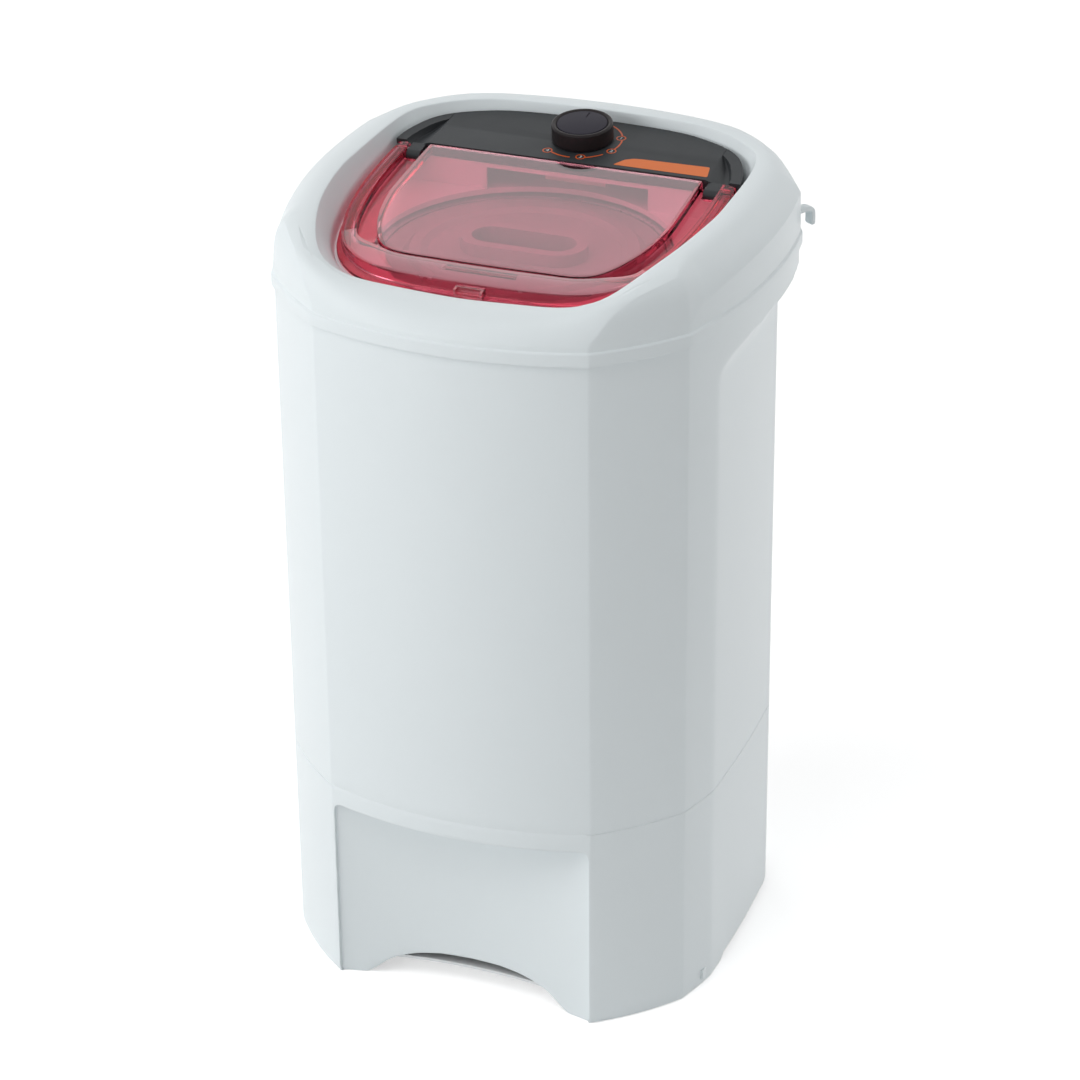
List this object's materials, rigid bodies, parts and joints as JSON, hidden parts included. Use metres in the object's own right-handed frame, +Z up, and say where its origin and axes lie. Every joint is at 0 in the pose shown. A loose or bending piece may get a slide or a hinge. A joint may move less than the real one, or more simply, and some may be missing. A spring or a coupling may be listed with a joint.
{
  "type": "laundry spin dryer",
  "caption": "Top-loading laundry spin dryer: faceted upright cabinet, hinged clear lid over a press disc and direct-drive basket, rear panel with timer knob, and a hook for the drain hose.",
  "frame": {"origin": "on the floor, under the middle of the machine", "axes": "+Z up, the front faces -Y, +X to the right seen from the front"},
  "size_m": [0.4402, 0.436, 0.7432],
  "materials": {
    "white_plastic": "glossy moulded plastic",
    "tub_plastic": "satin",
    "clear_red": "clear tinted",
    "charcoal_plastic": "satin",
    "black_gloss": "glossy",
    "dark_grey": "satin",
    "basket_steel": "bright",
    "cast_hub": "as cast",
    "steel": "zinc plated",
    "rubber": "matt",
    "lining": "matt",
    "copper": "enamelled wire",
    "can": "satin",
    "cream_plastic": "matt",
    "switch_plastic": "matt"
  },
  "bodies": {
    "machine": {"cabinet": "white_plastic", "base_plate": "steel", "rubber_feet": "rubber", "base_screws": "steel", "top_cover": "white_plastic", "hose_hook": "white_plastic", "control_panel": "charcoal_plastic", "panel_screws": "steel", "timer_housing": "cream_plastic", "hinge_pins": "steel", "lid_switch": "switch_plastic", "tub_cover": "white_plastic", "tub_gasket": "rubber", "tub_screws": "steel", "outer_tub": "tub_plastic", "tub_brackets": "steel", "drain_elbow": "switch_plastic", "shaft_seal": "rubber", "brake_pivot": "steel", "motor_cover": "cast_hub", "motor_housing": "cast_hub", "stator": "steel", "stator_windings": "copper", "upper_bearing": "steel", "lower_bearing": "steel", "motor_bracket": "steel", "rubber_mounts": "rubber", "mount_bolts": "steel", "motor_bolts": "steel", "capacitor": "can", "capacitor_clamp": "steel", "terminal_block": "cream_plastic", "cord_gland": "rubber"},
    "basket": {"spin_basket": "basket_steel", "basket_hub": "cast_hub", "hub_washer": "steel", "hub_nut": "steel", "drive_shaft": "steel", "brake_drum": "steel", "rotor": "steel"},
    "lid": {"lid": "clear_red", "lid_latch": "clear_red"},
    "knob": {"timer_knob": "black_gloss", "knob_cap": "dark_grey", "timer_shaft": "steel"},
    "press": {"press_disc": "white_plastic"},
    "brake": {"brake_lever": "steel", "brake_pad": "lining"},
    "plunger": {"switch_plunger": "switch_plastic"}
  },
  "joints": [
    {"name": "basket_spin", "type": "hinge", "parent": "machine", "child": "basket", "pos_m": [0, -0.018, 0.4], "axis": [0, 0, 1], "continuous": true},
    {"name": "lid_hinge", "type": "hinge", "parent": "machine", "child": "lid", "pos_m": [0, 0.07712, 0.71337], "axis": [-1, 0, 0], "range_deg": [0, 105]},
    {"name": "timer_turn", "type": "hinge", "parent": "machine", "child": "knob", "pos_m": [0, 0.12985, 0.72366], "axis": [0, 0.0993, -0.9951], "range_deg": [0, 300]},
    {"name": "press_lift", "type": "slide", "parent": "basket", "child": "press", "axis": [0, 0, 1], "range_m": [0, 0.008]},
    {"name": "brake_swing", "type": "hinge", "parent": "machine", "child": "brake", "pos_m": [0, 0.04, 0.188], "axis": [0, 0, -1], "range_deg": [0, 2.7]},
    {"name": "plunger_press", "type": "slide", "parent": "machine", "child": "plunger", "axis": [0, 0, -1], "range_m": [0, 0.0015], "stiffness_N_per_m": 60, "springref_m": -0.002}
  ],
  "couplings": [
    {"joint": "brake_swing", "follows": "lid_hinge", "ratio": 0.0254}
  ]
}
